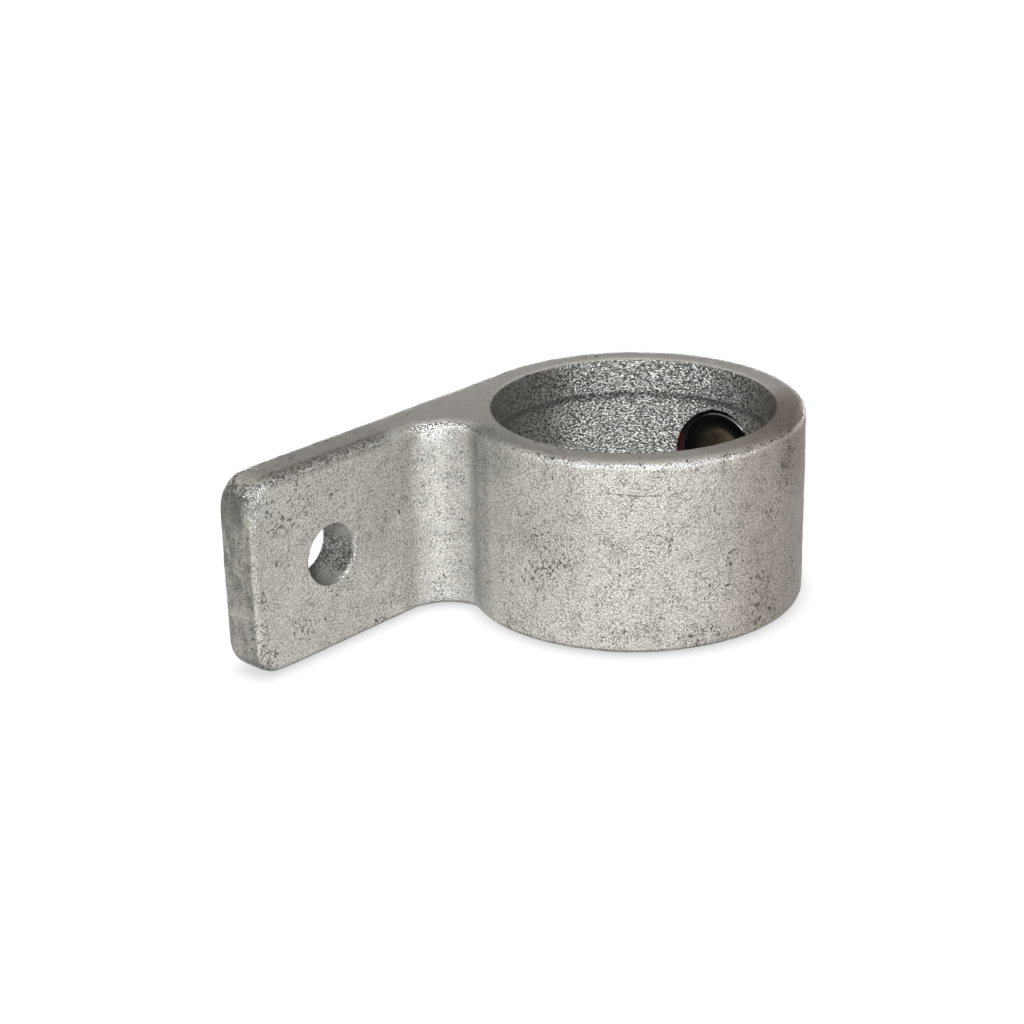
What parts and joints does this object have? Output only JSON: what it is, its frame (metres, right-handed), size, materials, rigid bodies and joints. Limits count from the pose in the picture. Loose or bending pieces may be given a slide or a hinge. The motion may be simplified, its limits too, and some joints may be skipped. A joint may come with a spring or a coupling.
{
  "type": "pipe clamp with base plate",
  "caption": "Cast ring clamp for a round tube, with a flat tangent lug drilled for a fixing bolt and a hollow-hex set screw that grips the tube.",
  "frame": {"origin": "on the bore axis, halfway up the ring, where the set screw's axis crosses it", "axes": "+Z along the bore axis and up as the clamp rests, -X from the ring to the end of the lug, +Y out of the lug's flat back"},
  "size_m": [0.1074, 0.06, 0.0344],
  "materials": {
    "zinc_coated_iron": "rough as cast, hot-dip zinc coated",
    "dark_steel": "dark oxide, satin"
  },
  "bodies": {
    "clamp": {"clamp_body": "zinc_coated_iron"},
    "screw": {"set_screw": "dark_steel"}
  },
  "joints": [
    {"name": "screw_travel", "type": "slide", "parent": "clamp", "child": "screw", "axis": [1, 0, 0], "range_m": [-0.006, 0.003]}
  ]
}
